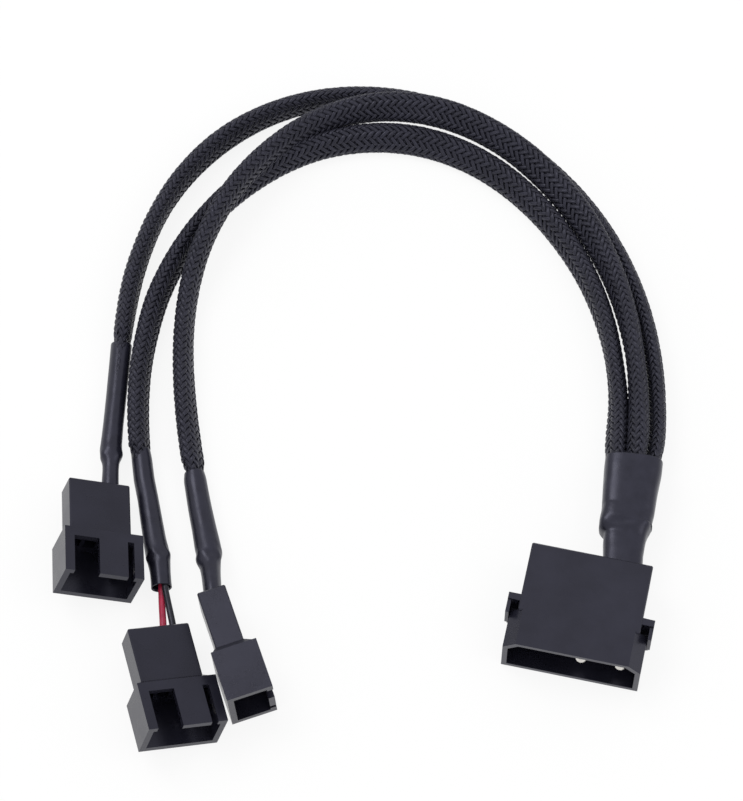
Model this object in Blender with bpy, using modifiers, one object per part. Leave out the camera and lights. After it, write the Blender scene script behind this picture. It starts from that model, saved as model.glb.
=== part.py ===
"""Fan splitter cable: one four-way supply plug feeds three braided cables, each with a shrouded fan plug.

Metres, +Z up. The cable set lies on a surface at z = 0, the way it was laid out: the supply plug at +X, the
three cables arched through +Y, the fan plugs at -X with their mouths towards -Y.
A plug's own frame has +X across its ways, +Y out of its rear towards the cable and +Z out of its top.
"""

from math import radians, tan

import bmesh
import bpy
import numpy as np
from mathutils import Matrix, Vector

CLEARANCE = 0.0003
CUT_MARGIN = 0.002
EDGE_CHAMFER = 0.0002
WELD_DISTANCE = 1e-6

# Flat sides of the round shapes
BORE_SIDES = 20
TRUNK_SIDES = 16
SUPPLY_PIN_SIDES = 16
FAN_PIN_SIDES = 12
SHRINK_SIDES = 12
CABLE_SIDES = 8

# Supply plug
SUPPLY_WAYS = 4
SUPPLY_PITCH = 0.00508
SUPPLY_HEIGHT = 0.0092
SUPPLY_LENGTH = 0.01785
SUPPLY_END_MARGIN = 0.00215
SUPPLY_SHROUD_START = 0.0116
SUPPLY_SHROUD_FLARE = 0.00125
SUPPLY_SHROUD_WALL = 0.00085
SUPPLY_CORNER_CUT = 0.0020
SUPPLY_SHROUD_DEPTH = 0.0085
SUPPLY_CONTACT_BORE = 0.0036
SUPPLY_LATCH_REACH = 0.00195
SUPPLY_LATCH_BAR = 0.0011
SUPPLY_LATCH_GAP = 0.00135
SUPPLY_LATCH_WALL = 0.0006
SUPPLY_LATCH_LENGTH = 0.0025
SUPPLY_LATCH_FOOT = 0.0046
SUPPLY_LATCH_DROP = 0.0006
SUPPLY_WEB_LOW = 0.0030
SUPPLY_WEB_HIGH = 0.0052
SUPPLY_PIN_DIAMETER = 0.00213
SUPPLY_PIN_RECESS = 0.0011
SUPPLY_BARREL_DIAMETER = 0.0029
SUPPLY_BARREL_LENGTH = 0.0040
SUPPLY_BARREL_INSET = 0.0030
SUPPLY_NOSE_STATIONS = 5
SUPPLY_PLACE = (0.03685, -0.0050, 0.0)
SUPPLY_TURN = (0.0, 0.0, radians(-12.3))

# Fan plug family
FAN_PITCH = 0.00254
FAN_REAR_HEIGHT = 0.00465
FAN_SHOULDER_LENGTH = 0.0014
FAN_SIDE_STEP = 0.0014
FAN_TOP_STEP = 0.0018
FAN_BOTTOM_STEP = 0.0010
FAN_WALL = 0.0010
FAN_TOP_BAND = 0.0013
FAN_TOP_LIP = 0.00155
FAN_CONTACT_BORE = 0.0019
FAN_PIN_DIAMETER = 0.0008
FAN_PIN_RECESS = 0.0034
FAN_BARREL_DIAMETER = 0.0015
FAN_BARREL_LENGTH = 0.0034
FAN_BARREL_INSET = 0.0022
FAN_PIN_TIP_SHARE = 0.5

# Each fan plug: ways, rear and whole length, tongue width, tongue gap to the +X lip, ground and 12 V ways
FAN_PLUGS = {
    "a": dict(ways=4, rear=0.0095, length=0.0188, tongue=0.0047, gap=0.00105, ground=3, live=2,
              place=(-0.0422, 0.0093, 0.00612), turn=(radians(-8.2), radians(20.6), radians(0.9))),
    "b": dict(ways=4, rear=0.0095, length=0.0188, tongue=0.0047, gap=0.00105, ground=3, live=2,
              place=(-0.0320, -0.0163, 0.00675), turn=(radians(-3.2), radians(17.1), radians(14.3))),
    "c": dict(ways=3, rear=0.0099, length=0.0195, tongue=0.0034, gap=0.0008, ground=2, live=1,
              place=(-0.02134, -0.0102, 0.00549), turn=(radians(0.7), radians(87.3), radians(19.3))),
}

# Trunk: the heat shrink where the three cables meet, and its narrow neck to the supply plug
TRUNK_LENGTH = 0.0210
TRUNK_TURN = (radians(-1.75), 0.0, radians(-7.2))
TRUNK_WIDE_LENGTH = 0.0136
TRUNK_NECK_WIDTH = 0.0066
TRUNK_WIDTH_NEAR = 0.0079
TRUNK_WIDTH_FAR = 0.0098
TRUNK_FLATNESS = 0.80
TRUNK_WALL = 0.0004
TRUNK_WIDE_STATIONS = 6
TRUNK_NECK_STATIONS = 4
TRUNK_CABLE_DEPTH = 0.0090
TRUNK_CABLE_SPREAD = 0.00235
TRUNK_CABLE_DROP = 0.0006
TRUNK_CABLE_RISE = 0.0011
TRUNK_CABLE_OPENING = 0.0030
TRUNK_CABLE_SPLAY = 1.12
SUPPLY_WIRE_DIAMETER = 0.0019
SUPPLY_WIRE_STRAIGHT = 0.0008
SUPPLY_WIRE_LEAN = 0.0008
SUPPLY_WIRE_BEND = 0.0056
SUPPLY_WIRE_TAPER = 0.0024

# Branches
SLEEVE_DIAMETER = 0.0035
SLEEVE_STEP = 0.0075
SLEEVE_SQUEEZE = 0.76
SQUEEZE_TAPER = 0.0050
WIRE_DIAMETER = 0.0011
WIRE_SPACING = 0.00116
WIRE_LEAD = 0.0015
WIRE_SEAT = 0.0004
BRANCH_SHRINK_WALL = 0.0003
BRANCH_SHRINK_GAP = 0.00015
NECK_SHRINK_WALL = 0.00025
NECK_SHRINK_GAP = 0.00015
NECK_END_GAP = 0.0012
BRANCH_SHRINK_LENGTHS = {"a": 0.0203, "b": 0.0235, "c": 0.0160}
NECKED_BRANCHES = ("a", "c")

# The cables' routes from the trunk's far end, along their middles
CABLE_ROUTES = {
    "a": (
        (0.04776, 0.01659, 0.00300), (0.04846, 0.02414, 0.00200), (0.04837, 0.03123, 0.00185),
        (0.04746, 0.03887, 0.00185), (0.04578, 0.04603, 0.00185), (0.04310, 0.05345, 0.00185),
        (0.03932, 0.06075, 0.00185), (0.03492, 0.06700, 0.00185), (0.03066, 0.07165, 0.00185),
        (0.02565, 0.07591, 0.00185), (0.02025, 0.07939, 0.00185), (0.01273, 0.08271, 0.00185),
        (0.00332, 0.08471, 0.00185), (-0.00545, 0.08452, 0.00185), (-0.01408, 0.08219, 0.00185),
        (-0.02064, 0.07863, 0.00185), (-0.02575, 0.07440, 0.00185), (-0.03070, 0.06842, 0.00185),
        (-0.03350, 0.06366, 0.00185), (-0.03531, 0.05958, 0.00185), (-0.03697, 0.05461, 0.00185),
        (-0.03825, 0.04959, 0.00185), (-0.03908, 0.04452, 0.00195), (-0.03961, 0.03941, 0.00215),
        (-0.03993, 0.03459, 0.00240), (-0.04038, 0.02446, 0.00255), (-0.04090, 0.01623, 0.00265),
    ),
    "b": (
        (0.04164, 0.01658, 0.00300), (0.04230, 0.02429, 0.00200), (0.04223, 0.03024, 0.00185),
        (0.04168, 0.03557, 0.00185), (0.04025, 0.04238, 0.00185), (0.03796, 0.04910, 0.00185),
        (0.03331, 0.05800, 0.00185), (0.02869, 0.06412, 0.00185), (0.02457, 0.06821, 0.00185),
        (0.02135, 0.07073, 0.00185), (0.01511, 0.07423, 0.00185), (0.01039, 0.07583, 0.00185),
        (0.00249, 0.07672, 0.00185), (-0.00577, 0.07542, 0.00185), (-0.01155, 0.07313, 0.00185),
        (-0.01916, 0.06814, 0.00185), (-0.02434, 0.06307, 0.00185), (-0.02765, 0.05877, 0.00185),
        (-0.03031, 0.05439, 0.00185), (-0.03249, 0.04979, 0.00185), (-0.03430, 0.04473, 0.00185),
        (-0.03552, 0.03938, 0.00185), (-0.03637, 0.03375, 0.00185), (-0.03673, 0.02811, 0.00185),
        (-0.03670, 0.02341, 0.00185), (-0.03630, 0.01761, 0.00185), (-0.03481, 0.00658, 0.00190),
        (-0.03365, 0.00053, 0.00220), (-0.03219, -0.00697, 0.00300),
    ),
    "c": (
        (0.04469, 0.01530, 0.00520), (0.04533, 0.02285, 0.00495), (0.04535, 0.02990, 0.00480),
        (0.04434, 0.03905, 0.00480), (0.04287, 0.04536, 0.00480), (0.04093, 0.05112, 0.00480),
        (0.03828, 0.05691, 0.00485), (0.03465, 0.06291, 0.00495), (0.03054, 0.06816, 0.00500),
        (0.02519, 0.07328, 0.00505), (0.01958, 0.07709, 0.00505), (0.01406, 0.07953, 0.00505),
        (0.00899, 0.08074, 0.00505), (0.00354, 0.08096, 0.00505), (-0.00076, 0.08030, 0.00510),
        (-0.00485, 0.07890, 0.00530), (-0.00930, 0.07651, 0.00560), (-0.01380, 0.07311, 0.00590),
        (-0.01803, 0.06882, 0.00610), (-0.02188, 0.06360, 0.00615), (-0.02389, 0.06008, 0.00605),
        (-0.02531, 0.05722, 0.00570), (-0.02709, 0.05281, 0.00480), (-0.02832, 0.04858, 0.00370),
        (-0.02911, 0.04428, 0.00270), (-0.02952, 0.03974, 0.00205), (-0.02959, 0.03556, 0.00185),
        (-0.02937, 0.03021, 0.00185), (-0.02890, 0.02490, 0.00185), (-0.02763, 0.01562, 0.00185),
        (-0.02612, 0.00658, 0.00195), (-0.02474, -0.00242, 0.00290),
    ),
}

# Sizes that follow from the ones above
SUPPLY_REAR_WIDTH = (SUPPLY_WAYS - 1) * SUPPLY_PITCH + 2 * SUPPLY_END_MARGIN
SUPPLY_MOUTH_WIDTH = SUPPLY_REAR_WIDTH + 2 * SUPPLY_SHROUD_FLARE
SUPPLY_LIVE_X = (SUPPLY_WAYS - 1) * SUPPLY_PITCH / 2
SUPPLY_GROUND_X = SUPPLY_LIVE_X - SUPPLY_PITCH
SUPPLY_CABLE_X = (SUPPLY_LIVE_X + SUPPLY_GROUND_X) / 2
SQUEEZED_RADIUS = SLEEVE_DIAMETER / 2 * SLEEVE_SQUEEZE


def clear_scene():
    for item in list(bpy.data.objects):
        bpy.data.objects.remove(item)


def collection(name):
    made = bpy.data.collections.new(name)
    bpy.context.scene.collection.children.link(made)
    return made


clear_scene()
PARTS = collection("fan_splitter_cable")
CUTTERS = collection("cutters")


def material(name, colour, roughness, metallic=0.0):
    made = bpy.data.materials.new(name)
    made.use_nodes = True
    shader = made.node_tree.nodes["Principled BSDF"]
    shader.inputs["Base Color"].default_value = (*colour, 1.0)
    shader.inputs["Roughness"].default_value = roughness
    shader.inputs["Metallic"].default_value = metallic
    return made


HOUSING_PLASTIC = ("housing_plastic", (0.028, 0.028, 0.033), 0.42)
CONTACT_METAL = ("contact_metal", (0.72, 0.70, 0.66), 0.28, 1.0)
SLEEVE_BRAID = ("sleeve_braid", (0.022, 0.022, 0.028), 0.55)
SHRINK_TUBE = ("shrink_tube", (0.024, 0.024, 0.030), 0.35)
RED_INSULATION = ("red_insulation", (0.42, 0.02, 0.05), 0.40)
BLACK_INSULATION = ("black_insulation", (0.020, 0.020, 0.022), 0.40)


def add(name, mesh, parent=None, surface=None):
    made = bpy.data.objects.new(name, mesh)
    (PARTS if surface else CUTTERS).objects.link(made)
    made.parent = parent
    if surface:
        own_name, *look = surface
        mesh.materials.clear()
        mesh.materials.append(material(f"{name}_{own_name}", *look))
    else:
        made.hide_render = True
        made.display_type = "WIRE"
    return made


def frame_empty(name, place, turn):
    made = bpy.data.objects.new(name, None)
    PARTS.objects.link(made)
    made.location = place
    made.rotation_euler = turn
    bpy.context.view_layer.update()
    return made


def box_mesh(name, low, high, narrow_back=None):
    """A box between two corners. narrow_back gives the low and high (x, z) of its +Y face, for a taper."""
    shape = bmesh.new()
    bmesh.ops.create_cube(shape, size=1.0)
    low, high = Vector(low), Vector(high)
    for vert in shape.verts:
        at_back = vert.co.y > 0
        for axis in range(3):
            vert.co[axis] = high[axis] if vert.co[axis] > 0 else low[axis]
        if narrow_back and at_back:
            (low_x, low_z), (high_x, high_z) = narrow_back
            vert.co.x = low_x if vert.co.x == low.x else high_x
            vert.co.z = low_z if vert.co.z == low.z else high_z
    mesh = bpy.data.meshes.new(name)
    shape.to_mesh(mesh)
    shape.free()
    return mesh


def cylinder_mesh(name, radius, start_y, end_y, x, z):
    shape = bmesh.new()
    turn = Matrix.Rotation(radians(90), 4, "X")
    move = Matrix.Translation((x, (start_y + end_y) / 2, z))
    bmesh.ops.create_cone(shape, cap_ends=True, segments=BORE_SIDES, radius1=radius, radius2=radius,
                          depth=abs(end_y - start_y), matrix=move @ turn)
    mesh = bpy.data.meshes.new(name)
    shape.to_mesh(mesh)
    shape.free()
    return mesh


def baked(item):
    """The object's evaluated mesh with its caps welded, as a mesh in the object's own frame."""
    evaluated = item.evaluated_get(bpy.context.evaluated_depsgraph_get())
    mesh = bpy.data.meshes.new_from_object(evaluated)
    shape = bmesh.new()
    shape.from_mesh(mesh)
    bmesh.ops.remove_doubles(shape, verts=shape.verts, dist=WELD_DISTANCE)
    shape.to_mesh(mesh)
    shape.free()
    bpy.data.objects.remove(item)
    return mesh


def outline_mesh(name, points, start_y, end_y):
    """A flat (x, z) outline extruded along Y between two stations."""
    curve = bpy.data.curves.new(name, "CURVE")
    curve.dimensions = "2D"
    curve.fill_mode = "BOTH"
    curve.extrude = abs(end_y - start_y) / 2
    spline = curve.splines.new("POLY")
    spline.points.add(len(points) - 1)
    for point, (x, z) in zip(spline.points, points):
        point.co = (x, z, 0.0, 1.0)
    spline.use_cyclic_u = True
    mesh = baked(add(name, curve))
    upright = Matrix.Rotation(radians(90), 4, "X")
    mesh.transform(Matrix.Translation((0, (start_y + end_y) / 2, 0)) @ upright)
    return mesh


def combine(target, mesh, operation):
    tool = add(f"{target.name}_{mesh.name}", mesh, target.parent)
    step = target.modifiers.new(mesh.name, "BOOLEAN")
    step.operation = operation
    step.solver = "EXACT"
    step.object = tool


def chamfer(item, width):
    step = item.modifiers.new("edge_chamfer", "BEVEL")
    step.width = width
    step.segments = 1
    step.limit_method = "ANGLE"
    step.angle_limit = radians(50)


def way_x(way, ways, pitch):
    return (way - (ways - 1) / 2) * pitch


def spline_through(route):
    """A natural cubic spline through the route's points: its length by chords, and a function of travel."""
    points = np.array([tuple(point) for point in route], float)
    knots = np.concatenate([[0.0], np.cumsum(np.linalg.norm(np.diff(points, axis=0), axis=1))])
    widths = np.diff(knots)
    count = len(points)
    system = np.zeros((count, count))
    right = np.zeros((count, 3))
    system[0, 0] = system[-1, -1] = 1.0
    for i in range(1, count - 1):
        system[i, i - 1:i + 2] = widths[i - 1], 2 * (widths[i - 1] + widths[i]), widths[i]
        right[i] = 6 * ((points[i + 1] - points[i]) / widths[i] - (points[i] - points[i - 1]) / widths[i - 1])
    bend = np.linalg.solve(system, right)

    def at(travel):
        i = min(int(np.searchsorted(knots, travel, side="right")) - 1, count - 2)
        after, before, width = knots[i + 1] - travel, travel - knots[i], widths[i]
        return (
            (bend[i] * after ** 3 + bend[i + 1] * before ** 3) / (6 * width)
            + (points[i] / width - bend[i] * width / 6) * after
            + (points[i + 1] / width - bend[i + 1] * width / 6) * before
        )

    return knots[-1], at


def even_stations(start, end, step):
    return np.linspace(start, end, max(2, int(round((end - start) / step)) + 1))


def sampled(route, step):
    total, at = spline_through(route)
    return [at(travel) for travel in even_stations(0.0, total, step)]


def tube_curve(name, points, radius, factors, capped, sides):
    curve = bpy.data.curves.new(name, "CURVE")
    curve.dimensions = "3D"
    curve.bevel_depth = radius
    curve.bevel_resolution = sides // 2 - 2
    curve.use_fill_caps = capped
    spline = curve.splines.new("POLY")
    spline.points.add(len(points) - 1)
    for i, (point, place) in enumerate(zip(spline.points, points)):
        point.co = (*place, 1.0)
        point.radius = factors[i] if factors is not None else 1.0
    return curve


def tube(name, points, radius, surface, factors=None):
    add(name, tube_curve(name, points, radius, factors, True, CABLE_SIDES), None, surface)


def hollow_tube(name, points, radius, wall, parent=None, factors=None, flatness=1.0, sides=SHRINK_SIDES):
    """A heat shrink: an open tube along the points, its wall inside the radius."""
    mesh = baked(add(name, tube_curve(name, points, radius, factors, False, sides)))
    mesh.transform(Matrix.Diagonal((1.0, 1.0, flatness, 1.0)))
    made = add(name, mesh, parent, SHRINK_TUBE)
    shell = made.modifiers.new("wall", "SOLIDIFY")
    shell.thickness = wall
    shell.offset = -1.0


def turned_pin(name, profile, parent, place, steps):
    """A turned contact: (radius, y) stations from its tip at -Y to its rear, on an axis along Y."""
    mesh = bpy.data.meshes.new(name)
    edges = [(i, i + 1) for i in range(len(profile) - 1)]
    mesh.from_pydata([(radius, 0.0, -y) for radius, y in profile], edges, [])
    made = add(name, mesh, parent, CONTACT_METAL)
    made.location = place
    made.rotation_euler = (radians(90), 0.0, 0.0)
    turn = made.modifiers.new("turn", "SCREW")
    turn.steps = turn.render_steps = steps
    turn.use_merge_vertices = True
    turn.merge_threshold = WELD_DISTANCE
    return made


def supply_outline(inset):
    """The D-shaped shroud section, inset by a wall, as (x, z) corners."""
    half = SUPPLY_MOUTH_WIDTH / 2 - inset
    cut = SUPPLY_CORNER_CUT - inset * tan(radians(22.5))
    low, high = inset, SUPPLY_HEIGHT - inset
    return (
        (-half, low), (half, low), (half, high - cut),
        (half - cut, high), (cut - half, high), (-half, high - cut),
    )


def build_supply_plug(plug):
    rear_half = SUPPLY_REAR_WIDTH / 2
    overlap = CLEARANCE
    body = add(
        "supply_plug_housing",
        box_mesh("rear", (-rear_half, -SUPPLY_SHROUD_START - overlap, 0.0), (rear_half, 0.0, SUPPLY_HEIGHT)),
        plug, HOUSING_PLASTIC,
    )
    chamfer(body, EDGE_CHAMFER)
    combine(body, outline_mesh("shroud", supply_outline(0.0), -SUPPLY_SHROUD_START, -SUPPLY_LENGTH), "UNION")
    bar_front = -SUPPLY_SHROUD_START + SUPPLY_LATCH_GAP
    bar_half = rear_half + SUPPLY_LATCH_REACH
    bar_low = (-bar_half, bar_front, SUPPLY_LATCH_FOOT)
    bar_high = (bar_half, bar_front + SUPPLY_LATCH_BAR, SUPPLY_HEIGHT - EDGE_CHAMFER)
    combine(body, box_mesh("latch_bar", bar_low, bar_high), "UNION")
    for side, name in ((-1, "left"), (1, "right")):
        edges = sorted((side * bar_half, side * (bar_half - SUPPLY_LATCH_WALL)))
        arm_low = (edges[0], bar_front + overlap - SUPPLY_LATCH_LENGTH, SUPPLY_LATCH_FOOT)
        arm_high = (edges[1], bar_front + overlap, SUPPLY_HEIGHT - SUPPLY_LATCH_DROP)
        combine(body, box_mesh(f"latch_{name}", arm_low, arm_high), "UNION")
        web_edges = sorted((side * (rear_half - overlap), side * (bar_half - SUPPLY_LATCH_WALL / 2)))
        web_low = (web_edges[0], -SUPPLY_SHROUD_START - overlap, SUPPLY_WEB_LOW)
        web_high = (web_edges[1], bar_front + overlap, SUPPLY_WEB_HIGH)
        combine(body, box_mesh(f"web_{name}", web_low, web_high), "UNION")
    mouth_floor = SUPPLY_SHROUD_DEPTH - SUPPLY_LENGTH
    past_mouth = -SUPPLY_LENGTH - CUT_MARGIN
    mouth_step = -SUPPLY_SHROUD_START - SUPPLY_SHROUD_WALL
    mouth = outline_mesh("mouth", supply_outline(SUPPLY_SHROUD_WALL), mouth_step, past_mouth)
    combine(body, mouth, "DIFFERENCE")
    inner = rear_half - SUPPLY_SHROUD_WALL
    deep_low = (-inner, mouth_step - overlap, SUPPLY_SHROUD_WALL)
    deep_high = (inner, mouth_floor, SUPPLY_HEIGHT - SUPPLY_SHROUD_WALL)
    combine(body, box_mesh("deep_mouth", deep_low, deep_high), "DIFFERENCE")
    for way in range(SUPPLY_WAYS):
        bore = cylinder_mesh(f"bore_{way}", SUPPLY_CONTACT_BORE / 2, mouth_floor - CUT_MARGIN / 2, CUT_MARGIN,
                             way_x(way, SUPPLY_WAYS, SUPPLY_PITCH), SUPPLY_HEIGHT / 2)
        combine(body, bore, "DIFFERENCE")
    for name, x in (("12v", SUPPLY_LIVE_X), ("ground", SUPPLY_GROUND_X)):
        build_supply_pin(f"supply_pin_{name}", plug, x)


def build_supply_pin(name, plug, x):
    tip, rear = SUPPLY_PIN_RECESS - SUPPLY_LENGTH, -SUPPLY_BARREL_INSET
    shank, barrel = SUPPLY_PIN_DIAMETER / 2, SUPPLY_BARREL_DIAMETER / 2
    nose_turns = np.linspace(0, radians(90), SUPPLY_NOSE_STATIONS)
    nose = [(shank * np.sin(turn), tip + shank * (1 - np.cos(turn))) for turn in nose_turns]
    barrel_front = rear - SUPPLY_BARREL_LENGTH
    collar = [(shank, barrel_front - barrel + shank), (barrel, barrel_front), (barrel, rear), (0.0, rear)]
    turned_pin(name, nose + collar, plug, (x, 0.0, SUPPLY_HEIGHT / 2), SUPPLY_PIN_SIDES)


def build_fan_plug(key, spec, plug):
    half = spec["ways"] * FAN_PITCH / 2
    outer = half + FAN_SIDE_STEP
    inner = outer - FAN_WALL
    top, bottom = FAN_TOP_STEP, -FAN_REAR_HEIGHT - FAN_BOTTOM_STEP
    mouth_floor = -spec["rear"] - FAN_SHOULDER_LENGTH
    body = add(
        f"fan_plug_housing_{key}",
        box_mesh("rear", (-half, -spec["rear"] - CLEARANCE, -FAN_REAR_HEIGHT), (half, 0.0, 0.0)),
        plug, HOUSING_PLASTIC,
    )
    chamfer(body, EDGE_CHAMFER)
    shoulder = box_mesh("shoulder", (-outer, mouth_floor, bottom), (outer, -spec["rear"], top),
                        ((-half, -FAN_REAR_HEIGHT), (half, 0.0)))
    combine(body, shoulder, "UNION")
    shroud = box_mesh("shroud", (-outer, -spec["length"], bottom), (outer, mouth_floor + CLEARANCE, top))
    combine(body, shroud, "UNION")
    past_mouth = -spec["length"] - CUT_MARGIN
    cavity_top = top - FAN_WALL
    cavity_low = (-inner, past_mouth, bottom + FAN_WALL)
    combine(body, box_mesh("cavity", cavity_low, (inner, mouth_floor, cavity_top)), "DIFFERENCE")
    lip_edge = outer - FAN_TOP_LIP
    tongue_right = lip_edge - spec["gap"]
    tongue_left = tongue_right - spec["tongue"]
    band_front = mouth_floor - FAN_TOP_BAND
    window_low, window_high = cavity_top - FAN_WALL / 2, top + CUT_MARGIN
    for name, left, right in (("window", -lip_edge, tongue_left), ("slot", tongue_right, lip_edge)):
        cut = box_mesh(name, (left, past_mouth, window_low), (right, band_front, window_high))
        combine(body, cut, "DIFFERENCE")
    reach = FAN_CONTACT_BORE / 2
    middle = -FAN_REAR_HEIGHT / 2
    for way in range(spec["ways"]):
        x = way_x(way, spec["ways"], FAN_PITCH)
        bore = box_mesh(f"bore_{way}", (x - reach, mouth_floor - CUT_MARGIN / 2, middle - reach),
                        (x + reach, CUT_MARGIN, middle + reach))
        combine(body, bore, "DIFFERENCE")
    for name, way in (("12v", spec["live"]), ("ground", spec["ground"])):
        place = (way_x(way, spec["ways"], FAN_PITCH), 0.0, middle)
        build_fan_pin(f"fan_pin_{key}_{name}", plug, place, spec["length"])


def build_fan_pin(name, plug, place, length):
    tip, rear = FAN_PIN_RECESS - length, -FAN_BARREL_INSET
    shank, barrel = FAN_PIN_DIAMETER / 2, FAN_BARREL_DIAMETER / 2
    barrel_front = rear - FAN_BARREL_LENGTH
    profile = [(0.0, tip), (shank * FAN_PIN_TIP_SHARE, tip), (shank, tip + shank),
               (shank, barrel_front - barrel + shank), (barrel, barrel_front), (barrel, rear), (0.0, rear)]
    turned_pin(name, profile, plug, place, FAN_PIN_SIDES)


def build_trunk(plug):
    """The trunk's two heat shrinks and the two supply wires, and where each cable starts inside it."""
    entry = plug.matrix_world @ Vector((SUPPLY_CABLE_X, CLEARANCE, SUPPLY_HEIGHT / 2))
    trunk = frame_empty("trunk", entry, TRUNK_TURN)
    wide_start = TRUNK_LENGTH - TRUNK_WIDE_LENGTH
    wide_stations = np.linspace(wide_start, TRUNK_LENGTH, TRUNK_WIDE_STATIONS)
    widths = np.interp(wide_stations, (wide_start, TRUNK_LENGTH), (TRUNK_WIDTH_NEAR, TRUNK_WIDTH_FAR))
    hollow_tube("trunk_shrink", [(0, y, 0) for y in wide_stations], TRUNK_WIDTH_FAR / 2, TRUNK_WALL,
                trunk, widths / TRUNK_WIDTH_FAR, TRUNK_FLATNESS, TRUNK_SIDES)
    neck_stations = np.linspace(0.0, wide_start - CLEARANCE, TRUNK_NECK_STATIONS)
    hollow_tube("trunk_neck_shrink", [(0, y, 0) for y in neck_stations], TRUNK_NECK_WIDTH / 2, TRUNK_WALL,
                trunk, None, TRUNK_FLATNESS, TRUNK_SIDES)
    cable_start = TRUNK_LENGTH - TRUNK_CABLE_DEPTH
    wire_end = cable_start - CLEARANCE
    neck_x = SUPPLY_WIRE_DIAMETER / 2 + CLEARANCE / 2
    half_height = SUPPLY_HEIGHT / 2
    rear = -SUPPLY_BARREL_INSET + CLEARANCE
    straight_end = rear + SUPPLY_WIRE_STRAIGHT
    trunk_stations = (SUPPLY_WIRE_BEND - SUPPLY_WIRE_TAPER, SUPPLY_WIRE_BEND, wire_end)
    for name, x, side, surface in (("red", SUPPLY_LIVE_X, 1, RED_INSULATION),
                                   ("black", SUPPLY_GROUND_X, -1, BLACK_INSULATION)):
        in_plug = [plug.matrix_world @ Vector((x - side * offset, y, half_height))
                   for offset, y in ((0.0, rear), (0.0, straight_end), (SUPPLY_WIRE_LEAN, CLEARANCE))]
        in_trunk = [trunk.matrix_world @ Vector((side * neck_x, y, 0)) for y in trunk_stations]
        path = sampled(in_plug + in_trunk, SUPPLY_WIRE_DIAMETER)
        tube(f"supply_wire_{name}", path, SUPPLY_WIRE_DIAMETER / 2, surface)
    offsets = {"a": (TRUNK_CABLE_SPREAD, -TRUNK_CABLE_DROP), "b": (-TRUNK_CABLE_SPREAD, -TRUNK_CABLE_DROP),
               "c": (0.0, TRUNK_CABLE_RISE)}
    stations = ((cable_start, 1.0), (TRUNK_LENGTH - TRUNK_CABLE_OPENING, TRUNK_CABLE_SPLAY))
    return {key: [trunk.matrix_world @ Vector((x * splay, y, z)) for y, splay in stations]
            for key, (x, z) in offsets.items()}


def build_branch(key, spec, plug, starts):
    total, at = spline_through(list(starts) + list(CABLE_ROUTES[key]))
    shrink_start = total - BRANCH_SHRINK_LENGTHS[key]
    trunk_end = TRUNK_CABLE_DEPTH + CLEARANCE
    squeeze_stations = (trunk_end, trunk_end + SQUEEZE_TAPER,
                        shrink_start - SQUEEZE_TAPER, shrink_start - CLEARANCE)
    stations = np.union1d(even_stations(0.0, total, SLEEVE_STEP), squeeze_stations)
    factors = np.interp(stations, squeeze_stations, (SLEEVE_SQUEEZE, 1.0, 1.0, SLEEVE_SQUEEZE))
    route = [at(travel) for travel in stations]
    tube(f"braided_cable_{key}", route, SLEEVE_DIAMETER / 2, SLEEVE_BRAID, factors)
    shrink_radius = SQUEEZED_RADIUS + BRANCH_SHRINK_GAP + BRANCH_SHRINK_WALL
    covered = [at(shrink_start), *(at(travel) for travel in stations[stations > shrink_start])]
    hollow_tube(f"branch_shrink_{key}", covered, shrink_radius, BRANCH_SHRINK_WALL)
    build_fan_wires(key, spec, plug, route)


def build_fan_wires(key, spec, plug, route):
    across = plug.matrix_world.to_3x3() @ Vector((1, 0, 0))
    end = Vector(route[-1])
    heading = (end - Vector(route[-2])).normalized()
    middle_z = -FAN_REAR_HEIGHT / 2
    live_x, ground_x = (way_x(spec[way], spec["ways"], FAN_PITCH) for way in ("live", "ground"))
    entry = plug.matrix_world @ Vector(((live_x + ground_x) / 2, NECK_END_GAP, middle_z))
    start = end + heading * CLEARANCE
    lead = start + heading * WIRE_LEAD
    approach = entry + plug.matrix_world.to_3x3() @ Vector((0, WIRE_LEAD, 0))
    seat_stations = (-WIRE_SEAT, CLEARANCE - FAN_BARREL_INSET)
    for name, x, side, surface in (("red", live_x, -1, RED_INSULATION),
                                   ("black", ground_x, 1, BLACK_INSULATION)):
        beside = across * (side * WIRE_SPACING / 2)
        seats = [plug.matrix_world @ Vector((x, y, middle_z)) for y in seat_stations]
        path = [start + beside, lead + beside, approach + beside, entry + beside, *seats]
        tube(f"fan_wire_{key}_{name}", sampled(path, WIRE_DIAMETER), WIRE_DIAMETER / 2, surface)
    if key in NECKED_BRANCHES:
        neck_path = sampled((start, lead, approach, entry), WIRE_DIAMETER)
        neck_radius = (WIRE_SPACING + WIRE_DIAMETER) / 2 + NECK_SHRINK_GAP + NECK_SHRINK_WALL
        hollow_tube(f"neck_shrink_{key}", neck_path, neck_radius, NECK_SHRINK_WALL)


supply = frame_empty("supply_plug", SUPPLY_PLACE, SUPPLY_TURN)
build_supply_plug(supply)
cable_starts = build_trunk(supply)
for branch, details in FAN_PLUGS.items():
    fan_plug = frame_empty(f"fan_plug_{branch}", details["place"], details["turn"])
    build_fan_plug(branch, details, fan_plug)
    build_branch(branch, details, fan_plug, cable_starts[branch])
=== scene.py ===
from math import pi, radians

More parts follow.
